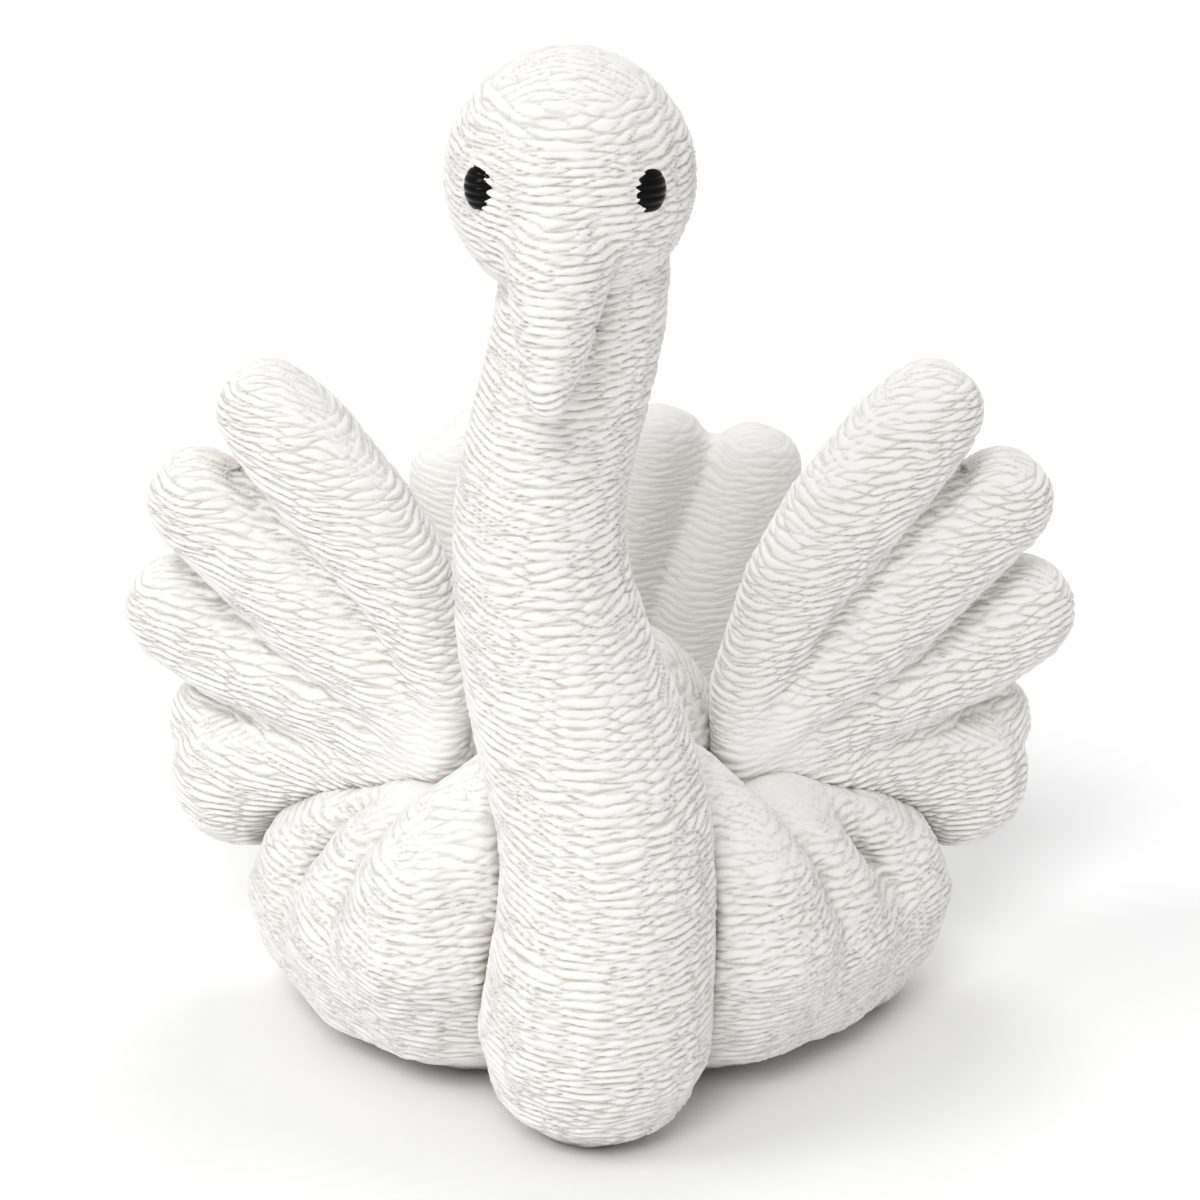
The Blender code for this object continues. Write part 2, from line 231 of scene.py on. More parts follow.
@dataclass(frozen=True)
class TerryPile:
    """The rows of loops on the towels: two plies that cross at small angles, so loops end in long points.

    Lengths are in millimetres.

    Attributes:
        ply_pitch: from one row of loops to the next.
        ply_slope: how much a ply's rows climb along themselves.
        ply_turn: the way that the first ply's rows climb, as an angle in radians.
        ply_shift: how far the second ply's rows lie off the first's, in rows.
        ply_noise_gap: how far apart in their noise the two plies are.
        ply_depths: how deep the creases of each ply are, as shares of the whole depth.
        rise_to_back: how much the level rows rise towards the swan's back.
        roundness: the power that a row's wave is raised to, below 1 for fuller loops.
        depth: from the bottom of a crease to the top of a loop.
        middle: the share of the depth that lies on the rounded towel itself.
        brushed: how much flatter the loops lie where the cloth faces up.
        brushed_facing: how far up the cloth faces where brushing begins and where it is full.
        flat_facing: how squarely the cloth faces up or down where flat rows begin and where they are alone.
        flat_start: where the flat rows begin in their noise.
        squash: how short every noise is across the rows, beside its length along them.
        sway: how far the rows wave, with sway_length from wave to wave.
        wander: how many rows each ply wanders, over wander_length.
        stray: how many rows its loops stray, over stray_length.
        strand_depth: the relief of single strands, strand_length long and strand_pitch apart.
    """

    ply_pitch: float = 2.5
    ply_slope: float = 0.14
    ply_turn: float = 0.5
    ply_shift: float = 0.37
    ply_noise_gap: float = 5.0
    ply_depths: tuple[float, ...] = (1.0, 0.9)
    rise_to_back: float = 0.24
    roundness: float = 0.85
    depth: float = 1.25
    middle: float = 0.68
    brushed: float = 0.3
    brushed_facing: tuple[float, float] = (0.25, 0.80)
    flat_facing: tuple[float, float] = (0.74, 0.88)
    flat_start: tuple[float, float, float] = (31.0, 0.0, 57.0)
    squash: float = 0.6
    sway: float = 1.2
    sway_length: float = 18.0
    wander: float = 0.55
    wander_length: float = 9.0
    stray: float = 0.15
    stray_length: float = 3.5
    strand_depth: float = 0.10
    strand_length: float = 5.0
    strand_pitch: float = 0.6

    def layer(self, places: np.ndarray, across: int) -> np.ndarray:
        """The height of the pile where its rows are stacked along one axis.

        Args:
            places: points in millimetres.
            across: the number of the axis that crosses the rows.

        Returns:
            Heights from about 0 in the creases to about 1 on the loops.
        """
        first, second = (axis for axis in range(3) if axis != across)
        squash = np.ones(3)
        squash[across] = self.squash
        up = places[:, across]
        up = up + self.sway * drift(places / (self.sway_length * squash), Noise.SWAY + across)
        heights = np.ones(len(places))
        for ply, ply_depth in enumerate(self.ply_depths):
            turn = 2.0 * math.pi * ply / len(self.ply_depths) + self.ply_turn
            along = places[:, first] * math.cos(turn) + places[:, second] * math.sin(turn)
            wandering = places / (self.wander_length * squash) + self.ply_noise_gap * ply
            rows = (up + self.ply_slope * along) / self.ply_pitch + self.ply_shift * ply
            rows += self.wander * drift(wandering, Noise.WANDER + ply)
            rows += self.stray * drift(places / (self.stray_length * squash), Noise.STRAY + ply)
            wave = np.abs(np.sin(math.pi * rows)) ** self.roundness
            heights = np.minimum(heights, 1.0 - ply_depth * (1.0 - wave))
        fine = np.full(3, self.strand_length)
        fine[across] = self.strand_pitch
        return heights + self.strand_depth * drift(places / fine, Noise.STRAND + across)

    def relief(self, places: np.ndarray, normals: np.ndarray) -> np.ndarray:
        """The height of the pile all over a towel.

        Rows rise towards the back on its sides, and run left to right on its top.

        Args:
            places: points on the towel in metres.
            normals: the way the towel faces at each point.

        Returns:
            Heights from about 0 in the creases to about 1 on the loops.
        """
        points = places / MM
        crossing = np.array((0.0, -self.rise_to_back, 1.0))
        level = self.layer(points - np.outer(points[:, 1], (0.0, 0.0, self.rise_to_back)), 2)
        flat = self.layer(points + np.array(self.flat_start), 1)
        share = ease(np.abs(normals @ crossing) / np.linalg.norm(crossing), *self.flat_facing)
        heights = level * (1.0 - share) + flat * share
        # Loops that face up have been brushed flatter by hand
        kept = 1.0 - self.brushed * ease(normals[:, 2], *self.brushed_facing)
        return self.middle + (heights - self.middle) * kept


@dataclass(frozen=True)
class TerryTowelling:
    """White cotton terry: looped, brushed by washing and matt, with painted warm shade between its loops and
    painted shade in its folds.

    Lengths are in millimetres.

    Attributes:
        loop_white: the colour on top of the loops.
        painted_crease_shade: the painted shade colour between the loops.
        pile_tones: the pile's heights where the one ends and the other begins.
        painted_fold_shade: the painted shade that a deep fold's colour is multiplied by.
        open_tint: what open cloth's colour is multiplied by.
        fold_light: the shares of open space where the one ends and the other begins.
        fold_reach: how far off the cloth of a fold shelters it.
        fold_samples: rays that look for shelter at each point.
        roughness, cotton_ior, shine: how matt the fibres are and how much they reflect.
        sheen, sheen_roughness: the light that the fuzz catches at a low angle.
        fibre_pitch: from fibre to fibre.
        fibre_lie: the fibres' pitch along X, Y and Z, where less than 1 draws them out.
        fibre_relief: how far fibres stand out, and fibre_strength how much of it shows.
    """

    loop_white: str = "F0EFEC"
    painted_crease_shade: str = "C5BFB6"
    pile_tones: tuple[float, float] = (0.08, 0.58)
    painted_fold_shade: str = "ABA49B"
    open_tint: str = "FFFFFF"
    fold_light: tuple[float, float] = (0.05, 0.60)
    fold_reach: float = 15.0
    fold_samples: int = 6
    roughness: float = 0.92
    cotton_ior: float = 1.45
    shine: float = 0.25
    sheen: float = 0.22
    sheen_roughness: float = 0.5
    fibre_pitch: float = 0.55
    fibre_lie: tuple[float, float, float] = (0.28, 0.28, 1.0)
    fibre_relief: float = 0.3
    fibre_strength: float = 0.5

    def colour(self, tree: bpy.types.NodeTree) -> bpy.types.NodeSocket:
        """Paints shade into the cloth's white between its loops and in its folds.

        Args:
            tree: the material's node tree.

        Returns:
            The output that holds the colour.
        """
        # Painted shade between the loops: low pile is coloured a warm grey, as shade between cotton loops
        # looks warm and never black
        pile = node(tree, "ShaderNodeAttribute", {"attribute_name": "pile_height_with_painted_shade"})
        crease_shade_ramp = ramp(tree, pile.outputs["Fac"], self.pile_tones, (self.painted_crease_shade, self.loop_white))
        # Painted shade in the folds: where the occlusion node finds cloth close by, the colour is multiplied
        # by a grey, as little light comes back out of a deep fold
        reach = {"samples": self.fold_samples, "Distance": self.fold_reach * MM}
        fold_occlusion = node(tree, "ShaderNodeAmbientOcclusion", reach)
        fold = ramp(tree, fold_occlusion.outputs["AO"], self.fold_light, (self.painted_fold_shade, self.open_tint))
        # A mix node has sockets of the same name for each type of value, so its colours go by number
        cloth = node(tree, "ShaderNodeMix", {"data_type": "RGBA", "blend_type": "MULTIPLY"})
        cloth.inputs[0].default_value = 1.0
        tree.links.new(crease_shade_ramp.outputs["Color"], cloth.inputs[6])
        tree.links.new(fold.outputs["Color"], cloth.inputs[7])
        return cloth.outputs[2]

    def fuzz(self, tree: bpy.types.NodeTree) -> bpy.types.NodeSocket:
        """Raises the fibres, which are drawn coarser than they are so that a render shows them.

        Args:
            tree: the material's node tree.

        Returns:
            The output that holds the way the fibres face.
        """
        where = node(tree, "ShaderNodeTexCoord")
        lie = node(
            tree,
            "ShaderNodeMapping",
            {"Scale": self.fibre_lie},
            {"Vector": where.outputs["Object"]},
        )
        fibres = node(
            tree,
            "ShaderNodeTexNoise",
            {"Scale": 1.0 / (self.fibre_pitch * MM), "Detail": 2.0, "Roughness": 0.6},
            {"Vector": lie.outputs["Vector"]},
        )
        raised = node(
            tree,
            "ShaderNodeBump",
            {"Strength": self.fibre_strength, "Distance": self.fibre_relief * MM},
            {"Height": fibres.outputs["Fac"]},
        )
        return raised.outputs["Normal"]

    def material(self) -> bpy.types.Material:
        """Builds the cloth's material.

        Returns:
            The material, which reads the height of the pile, darkened by painted crease shade, from the
            mesh.
        """
        made, tree, shader = new_material("white_cotton_terry")
        tree.links.new(self.colour(tree), shader.inputs["Base Color"])
        tree.links.new(self.fuzz(tree), shader.inputs["Normal"])
        shader.inputs["Roughness"].default_value = self.roughness
        shader.inputs["IOR"].default_value = self.cotton_ior
        shader.inputs["Specular IOR Level"].default_value = self.shine
        shader.inputs["Sheen Weight"].default_value = self.sheen
        shader.inputs["Sheen Roughness"].default_value = self.sheen_roughness
        return made


@dataclass(frozen=True)
class MouldedBead:
    """Black polystyrene, injection moulded and tumbled: smooth and hard, with small dim highlights.

    Attributes:
        jet: the plastic's colour.
        roughness: the least roughness, and roughness_spread how much is added to it in places.
        uneven_per_metre: how many such places there are in a metre.
        styrene_ior: the plastic's index of refraction.
        shine: how much it reflects, dulled by lint from the towel.
    """

    jet: str = "060607"
    roughness: float = 0.12
    roughness_spread: float = 0.16
    uneven_per_metre: float = 420.0
    styrene_ior: float = 1.59
    shine: float = 0.08

    def material(self) -> bpy.types.Material:
        """Builds the bead's material.

        Returns:
            The material.
        """
        made, tree, shader = new_material("moulded_black_styrene")
        # Tumbling leaves a faint unevenness that breaks up the highlights
        where = node(tree, "ShaderNodeTexCoord")
        uneven = node(
            tree,
            "ShaderNodeTexNoise",
            {"Scale": self.uneven_per_metre, "Detail": 2.0},
            {"Vector": where.outputs["Object"]},
        )
        rough = node(
            tree,
            "ShaderNodeMapRange",
            {"To Min": self.roughness, "To Max": self.roughness + self.roughness_spread},
            {"Value": uneven.outputs["Fac"]},
        )
        tree.links.new(rough.outputs["Result"], shader.inputs["Roughness"])
        shader.inputs["Base Color"].default_value = linear(self.jet)
        shader.inputs["IOR"].default_value = self.styrene_ior
        shader.inputs["Specular IOR Level"].default_value = self.shine
        return made


@dataclass(frozen=True)
class PaperSweep:
    """White background paper: uncoated and matt, so that it shows soft shadows and no reflections."""

    white: str = "F8F8F8"
    roughness: float = 0.9

    def material(self) -> bpy.types.Material:
        """Builds the paper's material.

        Returns:
            The material.
        """
        made, _, shader = new_material("white_paper_sweep")
        shader.inputs["Base Color"].default_value = linear(self.white)
        shader.inputs["Roughness"].default_value = self.roughness
        return made


def evaluated_copy(obj: bpy.types.Object) -> bpy.types.Mesh:
    """Takes the mesh that an object's modifiers make, and removes the object.

    Args:
        obj: an object in the scene.

    Returns:
        A new mesh.
    """
    graph = bpy.context.evaluated_depsgraph_get()
    made = bpy.data.meshes.new_from_object(obj.evaluated_get(graph))
    source = obj.data
    bpy.data.objects.remove(obj)
    bpy.data.meshes.remove(source)
    return made


def joined_faces(node_name: str) -> bmesh.types.BMesh:
    """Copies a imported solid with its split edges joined.

    Args:
        node_name: the solid's node.

    Returns:
        A closed form, to be freed by the caller.
    """
    form = bmesh.new()
    form.from_mesh(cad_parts[node_name].data)
    bmesh.ops.remove_doubles(form, verts=form.verts, dist=SPLIT_GAP)
    return form


def regrid(mesh: bpy.types.Mesh, voxel: float, passes: int, stretch: float = 1.0) -> bpy.types.Mesh:
    """Covers a closed form with an even grid and smooths it.

    Args:
        mesh: the form, which is used up.
        voxel: the grid's spacing in metres.
        passes: smoothing passes over the new grid.
        stretch: how many times finer the grid is along Z.

    Returns:
        The new mesh.
    """
    mesh.transform(Matrix.Diagonal((1.0, 1.0, stretch, 1.0)))
    holder = bpy.data.objects.new("grid", mesh)
    bpy.context.scene.collection.objects.link(holder)
    grid = holder.modifiers.new("grid", "REMESH")
    grid.mode = "VOXEL"
    grid.voxel_size = voxel
    if passes:
        smooth = holder.modifiers.new("smooth", "SMOOTH")
        smooth.factor = SMOOTHING
        smooth.iterations = passes
    made = evaluated_copy(holder)
    made.transform(Matrix.Diagonal((1.0, 1.0, 1.0 / stretch, 1.0)))
    return made


def stretched_area(mesh: bpy.types.Mesh, stretch: float) -> float:
    """Measures a mesh that is drawn out along Z.

    Args:
        mesh: the mesh, which stays as it is.
        stretch: how many times longer it is drawn.

    Returns:
        The area in square metres.
    """
    drawn_out = mesh.copy()
    drawn_out.transform(Matrix.Diagonal((1.0, 1.0, stretch, 1.0)))
    area = sum(face.area for face in drawn_out.polygons)
    bpy.data.meshes.remove(drawn_out)
    return area


def vertex_rows(mesh: bpy.types.Mesh, what: str) -> np.ndarray:
    """Reads three numbers from each vertex of a mesh.

    Args:
        mesh: the mesh to read.
        what: the name of what Blender holds there.

    Returns:
        Rows of three numbers.
    """
    found = np.empty(3 * len(mesh.vertices))
    mesh.vertices.foreach_get(what, found)
    return found.reshape(-1, 3)


def places_of(mesh: bpy.types.Mesh) -> np.ndarray:
    """Reads where each vertex is, in metres."""
    return vertex_rows(mesh, "co")


def normals_of(mesh: bpy.types.Mesh) -> np.ndarray:
    """Reads the way that each vertex faces."""
    return vertex_rows(mesh, "normal")


def edge_ends(mesh: bpy.types.Mesh) -> np.ndarray:
    """Reads which vertices each edge joins.

    Args:
        mesh: the mesh to read.

    Returns:
        Rows of two vertex numbers.
    """
    found = np.empty(2 * len(mesh.edges), dtype=np.int32)
    mesh.edges.foreach_get("vertices", found)
    return found.reshape(-1, 2)


def pull(values: np.ndarray, ends: np.ndarray) -> np.ndarray:
    """Finds how far each vertex's values are from the mean of its neighbours'.

    Args:
        values: one row for each vertex, such as its place.
        ends: the vertices that each edge joins.

    Returns:
        What each row lacks to reach that mean.
    """
    here, there = ends.T
    count = len(values)
    neighbours = np.bincount(ends.ravel(), minlength=count)
    totals = [
        np.bincount(here, column[there], count) + np.bincount(there, column[here], count)
        for column in values.T
    ]
    return np.column_stack(totals) / neighbours[:, None] - values


def hollows(mesh: bpy.types.Mesh, passes: int) -> np.ndarray:
    """Finds how deep each vertex lies below the same form with its creases smoothed over.

    Args:
        mesh: the mesh to measure.
        passes: smoothing passes, which set how wide a hollow counts.

    Returns:
        Depths in metres, and 0 on ridges.
    """
    ends = edge_ends(mesh)
    places = places_of(mesh)
    softer = places.copy()
    for _ in range(passes):
        softer += SMOOTHING * pull(softer, ends)
    return np.clip(np.sum((softer - places) * normals_of(mesh), axis=1), 0.0, None)


def move_to(mesh: bpy.types.Mesh, places: np.ndarray) -> None:
    """Puts a mesh's vertices in new places."""
    mesh.vertices.foreach_set("co", places.ravel())
    mesh.update()


def above_ground(places: np.ndarray) -> np.ndarray:
    """Lifts what would go through the surface that the swan stands on."""
    return np.column_stack((places[:, :2], np.maximum(places[:, 2], 0.0)))


def push(mesh: bpy.types.Mesh, distances: np.ndarray | float) -> None:
    """Moves a mesh's vertices along their normals, but not through the surface that the swan stands on.

    Args:
        mesh: the mesh to change.
        distances: how far each vertex moves, or how far all of them move, in metres.
    """
    steps = np.broadcast_to(distances, len(mesh.vertices))
    move_to(mesh, above_ground(places_of(mesh) + normals_of(mesh) * steps[:, None]))


def smooth_piece(mesh: bpy.types.Mesh, name: str, finish: bpy.types.Material) -> bpy.types.Object:
    """Puts a mesh in the scene as one smooth piece.

    Args:
        mesh: the piece's mesh.
        name: the piece's name.
        finish: its material.

    Returns:
        The piece.
    """
    mesh.shade_smooth()
    mesh.materials.clear()
    mesh.materials.append(finish)
    piece = bpy.data.objects.new(name, mesh)
    bpy.context.scene.collection.objects.link(piece)
    return piece


@dataclass
class FoldedTowel:
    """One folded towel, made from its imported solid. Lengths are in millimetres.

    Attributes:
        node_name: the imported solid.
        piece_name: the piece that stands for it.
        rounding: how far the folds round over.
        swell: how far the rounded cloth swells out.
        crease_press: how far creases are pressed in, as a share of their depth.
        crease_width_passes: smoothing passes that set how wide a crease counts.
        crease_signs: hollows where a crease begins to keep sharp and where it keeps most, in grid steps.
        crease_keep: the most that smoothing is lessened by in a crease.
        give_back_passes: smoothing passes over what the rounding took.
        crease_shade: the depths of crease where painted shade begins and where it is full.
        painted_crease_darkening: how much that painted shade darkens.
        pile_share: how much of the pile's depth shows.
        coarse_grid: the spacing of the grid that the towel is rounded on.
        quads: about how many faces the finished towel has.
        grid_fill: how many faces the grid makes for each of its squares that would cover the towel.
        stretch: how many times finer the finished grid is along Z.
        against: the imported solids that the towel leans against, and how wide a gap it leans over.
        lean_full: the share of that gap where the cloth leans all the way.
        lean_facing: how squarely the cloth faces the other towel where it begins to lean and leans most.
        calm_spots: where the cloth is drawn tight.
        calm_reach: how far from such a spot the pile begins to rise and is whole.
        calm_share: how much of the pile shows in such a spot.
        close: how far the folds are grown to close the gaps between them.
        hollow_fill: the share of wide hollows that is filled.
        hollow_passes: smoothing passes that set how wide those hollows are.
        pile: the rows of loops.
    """

    node_name: str
    piece_name: str
    rounding: Rounding = Rounding.SOFT
    swell: float = 0.6
    crease_press: float = 0.6
    crease_width_passes: int = 14
    crease_signs: tuple[float, float] = (0.03, 0.14)
    crease_keep: float = 0.42
    give_back_passes: int = 10
    crease_shade: tuple[float, float] = (0.12, 0.6)
    painted_crease_darkening: float = 0.4
    pile_share: float = 1.0
    coarse_grid: float = 1.6
    quads: int = 95000
    grid_fill: float = 1.45
    stretch: float = 2.6
    against: tuple[tuple[str, float], ...] = ()
    lean_full: float = 0.35
    lean_facing: tuple[float, float] = (0.1, 0.6)
    calm_spots: tuple[tuple[float, float, float], ...] = ()
    calm_reach: tuple[float, float] = (6.0, 34.0)
    calm_share: float = 0.4
    close: float = 0.0
    hollow_fill: float = 0.0
    hollow_passes: int = 110
    pile: TerryPile = field(default_factory=TerryPile)

    def cage(self) -> bpy.types.Mesh:
        """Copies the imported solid.

        Returns:
            A closed mesh.
        """
        form = joined_faces(self.node_name)
        self.fill(form)
        made = bpy.data.meshes.new(self.piece_name)
        form.to_mesh(made)
        form.free()
        return made

    def fill(self, form: bmesh.types.BMesh) -> None:
        """Adds solids that close what the cloth closes over. A plain towel has none.

        Args:
            form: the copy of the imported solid.
        """

    def settle(self, mesh: bpy.types.Mesh) -> None:
        """Rounds the solid's facets off, and keeps most of the sharpness of the creases between its folds.

        Args:
            mesh: the towel on its coarse grid.
        """
        ends = edge_ends(mesh)
        packed = places_of(mesh)
        for _ in range(self.rounding.value):
            places = places_of(mesh)
            way = pull(places, ends)
            hollow = np.sum(way * normals_of(mesh), axis=1) / (self.coarse_grid * MM)
            give = SMOOTHING - self.crease_keep * ease(hollow, *self.crease_signs)
            move_to(mesh, places + way * give[:, None])
        # Smoothing draws the form in, most of all at its tips, so what it took is handed back evenly
        taken = np.sum((packed - places_of(mesh)) * normals_of(mesh), axis=1)[:, None]
        for _ in range(self.give_back_passes):
            taken += SMOOTHING * pull(taken, ends)
        push(mesh, taken[:, 0])

    def shape(self, mesh: bpy.types.Mesh) -> None:
        """Makes this towel's own changes of form: fuller creases, and rims that lean against its neighbours.

        Args:
            mesh: the rounded towel on its coarse grid.
        """
        if self.hollow_fill:
            push(mesh, self.hollow_fill * hollows(mesh, self.hollow_passes))
        for name, reach in self.against:
            self.lean(mesh, name, reach)

    def lean(self, mesh: bpy.types.Mesh, name: str, reach: float) -> None:
        """Draws the cloth that faces another towel up against it.

        Args:
            mesh: the rounded towel on its coarse grid.
            name: the other towel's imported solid.
            reach: how wide a gap the cloth still leans over, in millimetres.
        """
        form = joined_faces(name)
        tree = BVHTree.FromBMesh(form)
        form.free()
        places = places_of(mesh)
        spots = [tree.find_nearest(place, reach * MM)[0] for place in places]
        ways = np.array([place if spot is None else spot for place, spot in zip(places, spots)]) - places
        away = np.linalg.norm(ways, axis=1)
        facing = np.sum(ways * normals_of(mesh), axis=1) / np.maximum(away, LEAST_LENGTH)
        near = ease(away / MM, reach, self.lean_full * reach)
        share = near * ease(facing, *self.lean_facing)
        move_to(mesh, above_ground(places + ways * share[:, None]))

    def rounded(self) -> bpy.types.Mesh:
        """Rounds the towel, presses its creases in, and swells it back to its outline.

        Returns:
            A mesh with a grid that is fine enough for the pile.
        """
        coarse = regrid(self.cage(), self.coarse_grid * MM, passes=0)
        if self.close:
            # Folds that lie near each other touch in soft cloth, so they are grown together and cut back
            push(coarse, self.close * MM)
            coarse = regrid(coarse, self.coarse_grid * MM, passes=1)
            push(coarse, -self.close * MM)
        self.settle(coarse)
        creases = hollows(coarse, self.crease_width_passes)
        push(coarse, self.swell * MM - self.crease_press * creases)
        self.shape(coarse)
        voxel = math.sqrt(self.grid_fill * stretched_area(coarse, self.stretch) / self.quads)
        return regrid(coarse, voxel, passes=2, stretch=self.stretch)

    def pile_weight(self, mesh: bpy.types.Mesh) -> np.ndarray:
        """Finds how much of the pile's depth shows. Cloth that is drawn tight into a hub is nearly smooth.

        Args:
            mesh: the towel.

        Returns:
            One share for each vertex.
        """
        places = places_of(mesh) / MM
        weight = np.full(len(places), self.pile_share)
        for spot in self.calm_spots:
            loose = ease(np.linalg.norm(places - np.array(spot), axis=1), *self.calm_reach)
            weight *= self.calm_share + (1.0 - self.calm_share) * loose
        return weight

    def build(self, cloth: bpy.types.Material) -> bpy.types.Object:
        """Makes the towel with its pile.

        Args:
            cloth: the towelling's material.

        Returns:
            The finished piece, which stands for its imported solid.
        """
        mesh = self.rounded()
        heights = self.pile.relief(places_of(mesh), normals_of(mesh))
        heights = self.pile.middle + (heights - self.pile.middle) * self.pile_weight(mesh)
        # Painted shade in the creases between the folds: the colour that the pile's height gives is darkened
        # there
        creases = ease(hollows(mesh, self.crease_width_passes) / MM, *self.crease_shade)
        push(mesh, (heights - self.pile.middle) * self.pile.depth * MM)
        shaded = heights * (1.0 - self.painted_crease_darkening * creases)
        mesh.attributes.new("pile_height_with_painted_shade", "FLOAT", "POINT").data.foreach_set("value", shaded)
        piece = smooth_piece(mesh, self.piece_name, cloth)
        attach(piece, "root")
        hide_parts(self.node_name)
        return piece


@dataclass(frozen=True)
class HeadBall:
    """The head's ball as it is packed, less a hair. Lengths are in millimetres."""

    middle: tuple[float, float, float] = (-8.1, -58.9, 275.9)
    radius: float = 33.8


@dataclass
class NeckAndHead(FoldedTowel):
    """The neck roll, bent over at the top into the head and the beak."""

    node_name: str = "neck_and_head"
    piece_name: str = "neck_towel"
    rounding: Rounding = Rounding.FIRM
    coarse_grid: float = 1.2
    crease_press: float = 1.6
    # The neck's creases get darker painted shade
    painted_crease_darkening: float = 0.8
    head: HeadBall = field(default_factory=HeadBall)

    def fill(self, form: bmesh.types.BMesh) -> None:
        """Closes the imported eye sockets, because the pile lies close round the beads.

        Args:
            form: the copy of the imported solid.
        """
        ball = bmesh.ops.create_icosphere(form, subdivisions=4, radius=self.head.radius * MM)
        for vertex in ball["verts"]:
            vertex.co = vertex.co + Vector(self.head.middle) * MM


@dataclass
class PleatedBody(FoldedTowel):
    """The bowl of pleats that carries the wings and the tail. Low down the pleats run out in taut cloth.

    Attributes:
        pleats_start: the height where the cloth begins to be drawn taut, going down.
        pleats_end: the height where the last of the pleats runs out.
        bowl_lift: how much fuller the taut cloth is.
    """

    node_name: str = "body"
    piece_name: str = "body_towel"
    swell: float = 0.8
    pleats_start: float = 66.0
    pleats_end: float = 30.0
    bowl_lift: float = 1.2
    hollow_fill: float = 0.5
    calm_spots: tuple[tuple[float, float, float], ...] = HUBS
    against: tuple[tuple[str, float], ...] = (
        ("neck_and_head", 19.0),
        ("left_wing", 8.0),
        ("right_wing", 8.0),
        ("tail", 9.0),
    )

    def shape(self, mesh: bpy.types.Mesh) -> None:
        """Wraps the bowl below the pleats in cloth without hollows.

        Args:
            mesh: the rounded towel on its coarse grid.
        """
        places = places_of(mesh)
        low = ease(places[:, 2] / MM, self.pleats_start, self.pleats_end)
        skin = bmesh.new()
        for place in places[low > 0.0]:
            skin.verts.new(place)
        bmesh.ops.convex_hull(skin, input=skin.verts)
        tree = BVHTree.FromBMesh(skin)
        skin.free()
        taut = np.array([tree.find_nearest(place)[0] for place in places])
        move_to(mesh, places + (taut - places) * low[:, None])
        push(mesh, self.bowl_lift * MM * low)
        super().shape(mesh)


@dataclass
class FannedWing(FoldedTowel):
    """A fan of rolls on one side of the body."""

    swell: float = 1.0
    close: float = 2.8
    hollow_fill: float = 0.1
    crease_press: float = 1.3
    # Painted shade in the creases between the rolls
    painted_crease_darkening: float = 0.55
    calm_spots: tuple[tuple[float, float, float], ...] = HUBS
    against: tuple[tuple[str, float], ...] = (("neck_and_head", 18.0),)


@dataclass
class FannedTail(FoldedTowel):
    """The fan of rolls at the back."""

    node_name: str = "tail"
    piece_name: str = "tail_towel"
    rounding: Rounding = Rounding.LOOSE
    swell: float = 1.2
    close: float = 3.0
    crease_press: float = 0.0
    pile_share: float = 0.5
    quads: int = 90000


@dataclass
class BeadEye:
    """A black bead with level ribs, sunk into the pile. Lengths are in millimetres.

    Attributes:
        node_name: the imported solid.
        piece_name: the piece that stands for it.
        head: the ball that the bead is sunk into.
        radii: the bead's half width, half depth and half height.
        proud: how far it stands out of the head.
        spread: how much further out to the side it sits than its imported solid.
        drop: how much lower it sits.
        rib_pitch: from rib to rib.
        rib_depth: how deep the grooves between ribs are.
        rib_start: where the ribs begin at the bead's middle, in ribs.
        rib_middle: the share of the depth that lies on the bead's oval.
        rounds: faces round the bead, and from its top to its foot.
    """

    node_name: str
    piece_name: str
    head: HeadBall = field(default_factory=HeadBall)
    radii: tuple[float, float, float] = (5.7, 3.6, 6.5)
    proud: float = 1.9
    spread: float = 1.05
    drop: float = 1.1
    rib_pitch: float = 2.3
    rib_depth: float = 0.5
    rib_start: float = 0.5
    rib_middle: float = 0.6
    rounds: int = 88

    def ribbed(self) -> bpy.types.Mesh:
        """Makes the bead's form, facing -Y about the origin.

        Returns:
            A closed mesh.
        """
        form = bmesh.new()
        bmesh.ops.create_uvsphere(form, u_segments=self.rounds, v_segments=self.rounds, radius=1.0)
        for vertex in form.verts:
            across, along, up = vertex.co
            rib = abs(math.sin(math.pi * (up * self.radii[2] / self.rib_pitch + self.rib_start)))
            reach = 1.0 + self.rib_depth * (rib - self.rib_middle) / self.radii[1]
            scaled = (across * self.radii[0], along * self.radii[1] * reach, up * self.radii[2])
            vertex.co = Vector(scaled) * MM
        made = bpy.data.meshes.new(self.piece_name)
        form.to_mesh(made)
        form.free()
        return made

    def build(self, plastic: bpy.types.Material) -> bpy.types.Object:
        """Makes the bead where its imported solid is.

        Args:
            plastic: the bead's material.

        Returns:
            The finished piece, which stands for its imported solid.
        """
        low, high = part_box(self.node_name)
        packed = (Vector(low) + Vector(high)) / 2.0
        outward = packed - Vector(self.head.middle) * MM
        outward.x *= self.spread
        outward.z = 0.0
        outward.normalize()
        middle = Vector((*self.head.middle[:2], packed.z / MM - self.drop))
        middle = (middle + outward * (self.head.radius + self.proud - self.radii[1])) * MM
        mesh = self.ribbed()
        turn = math.atan2(outward.x, -outward.y)
        mesh.transform(Matrix.Translation(middle) @ Matrix.Rotation(turn, 4, "Z"))
        piece = smooth_piece(mesh, self.piece_name, plastic)
        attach(piece, "root")
        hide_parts(self.node_name)
        return piece


@dataclass(frozen=True)
class SoftBox:
    """A far, soft light. Its azimuth is 0 in front of the swan and below 0 to the left, in degrees."""

    name: str
    azimuth: float
    height: float
    energy: float


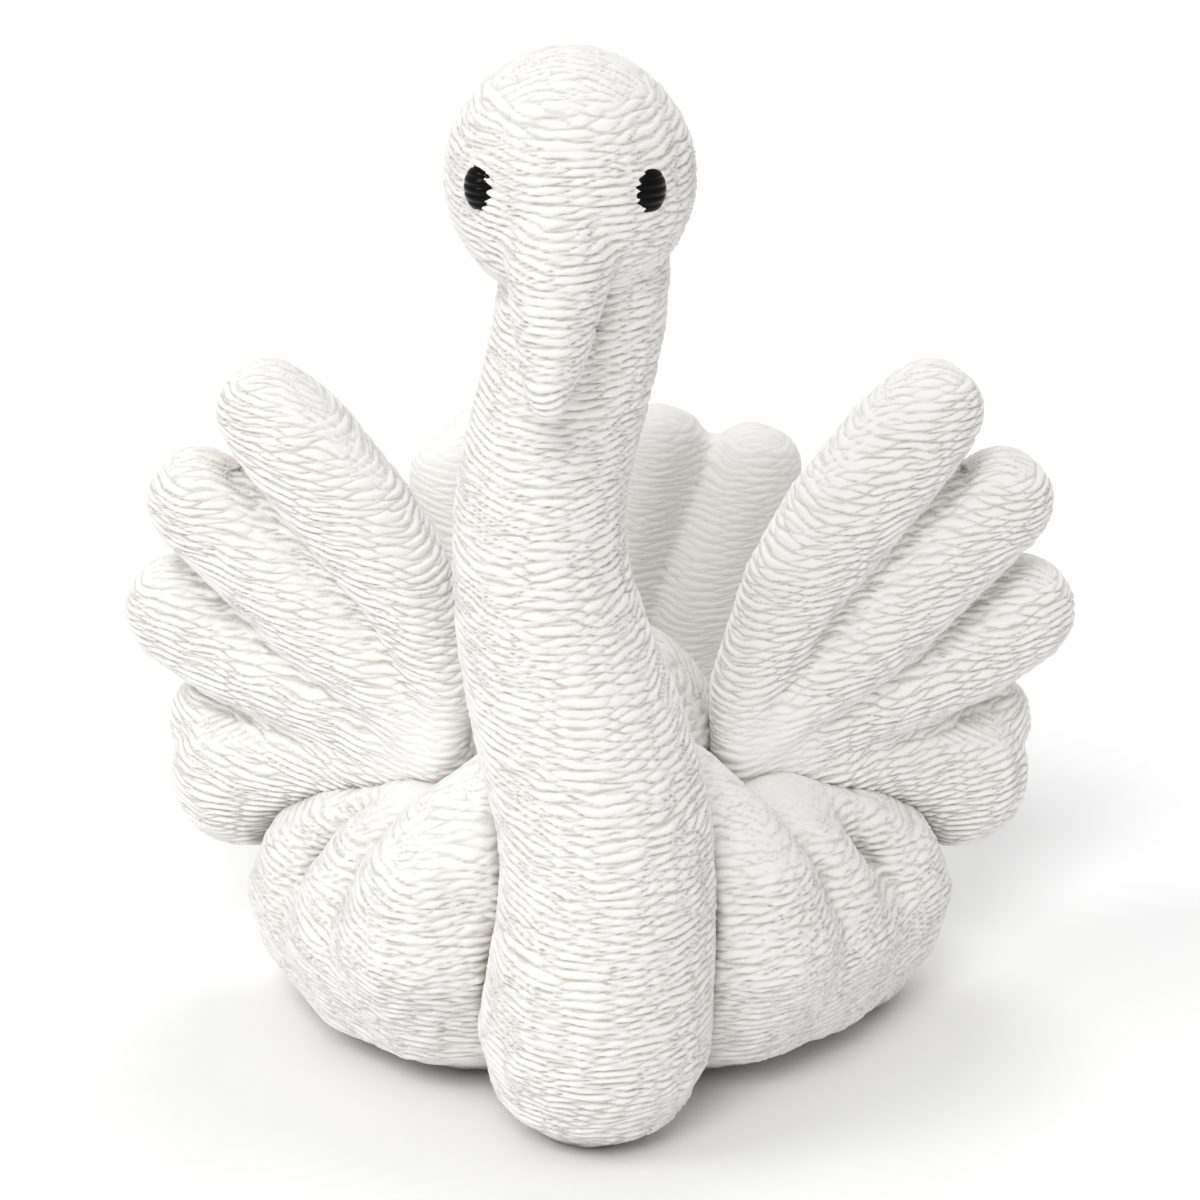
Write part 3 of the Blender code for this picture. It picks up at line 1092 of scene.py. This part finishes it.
@dataclass
class Studio:
    """A plain white floor, soft light and a camera at the photograph's angle. Metres and degrees.

    Attributes:
        floor_width: the floor's side.
        paper: what it is covered with.
        eye: where the camera is.
        aim: what it looks at.
        lens: its focal length, and sensor_width its sensor's width, in millimetres.
        nearest: how near it still sees.
        room_light: the strength of the light from all round.
        box_width: how wide each soft box looks from the swan.
        soft_boxes: the lights to the left, in front and behind.
    """

    floor_width: float = 12.0
    paper: PaperSweep = field(default_factory=PaperSweep)
    eye: tuple[float, float, float] = (0.0, -1.1053, 0.5144)
    aim: tuple[float, float, float] = (0.0, -0.0180, 0.140)
    lens: float = 118.0
    sensor_width: float = 36.0
    nearest: float = 0.05
    room_light: float = 0.58
    box_width: float = 24.0
    soft_boxes: tuple[SoftBox, ...] = (
        SoftBox("left_box", azimuth=-66.0, height=40.0, energy=0.66),
        SoftBox("front_box", azimuth=-12.0, height=42.0, energy=1.12),
        SoftBox("back_box", azimuth=174.0, height=55.0, energy=0.66),
    )

    def floor(self) -> bpy.types.Object:
        """Makes the floor.

        Returns:
            The floor.
        """
        bpy.ops.mesh.primitive_plane_add(size=self.floor_width)
        ground = bpy.context.object
        ground.name = "white_floor"
        ground.data.materials.append(self.paper.material())
        return ground

    def light(self) -> None:
        """Lights the scene from all round, and more from the soft boxes."""
        world = bpy.data.worlds.new("studio")
        world.use_nodes = True
        sky = world.node_tree.nodes["Background"]
        sky.inputs["Color"].default_value = linear("FFFFFF")
        sky.inputs["Strength"].default_value = self.room_light
        bpy.context.scene.world = world
        for soft_box in self.soft_boxes:
            lamp = bpy.data.lights.new(soft_box.name, "SUN")
            lamp.energy = soft_box.energy
            lamp.angle = math.radians(self.box_width)
            holder = bpy.data.objects.new(soft_box.name, lamp)
            tip = math.radians(90 - soft_box.height)
            holder.rotation_euler = (tip, 0.0, math.radians(soft_box.azimuth))
            bpy.context.scene.collection.objects.link(holder)

    def camera(self) -> bpy.types.Object:
        """Places the camera.

        Returns:
            The scene's camera.
        """
        data = bpy.data.cameras.new("camera")
        data.lens = self.lens
        data.sensor_width = self.sensor_width
        data.clip_start = self.nearest
        eye = bpy.data.objects.new("camera", data)
        eye.location = self.eye
        eye.rotation_euler = (Vector(self.aim) - Vector(self.eye)).to_track_quat("-Z", "Y").to_euler()
        bpy.context.scene.collection.objects.link(eye)
        bpy.context.scene.camera = eye
        return eye


def main() -> None:
    """Builds the swan and its studio, and reports each piece."""
    logging.basicConfig(level=logging.INFO, format="%(message)s")
    studio = Studio()
    studio.floor()
    studio.light()
    studio.camera()
    bpy.context.scene.view_settings.view_transform = "Standard"

    cloth = TerryTowelling().material()
    plastic = MouldedBead().material()
    towels = (
        NeckAndHead(),
        PleatedBody(),
        FannedWing("left_wing", "left_wing_towel"),
        FannedWing("right_wing", "right_wing_towel"),
        FannedTail(),
    )
    for towel in towels:
        piece = towel.build(cloth)
        log.info("%s: %d faces", piece.name, len(piece.data.polygons))
    for side in ("left", "right"):
        bead = BeadEye(f"{side}_eye", f"{side}_eye_bead").build(plastic)
        log.info("%s: %d faces", bead.name, len(bead.data.polygons))


if __name__ == "__main__":
    main()
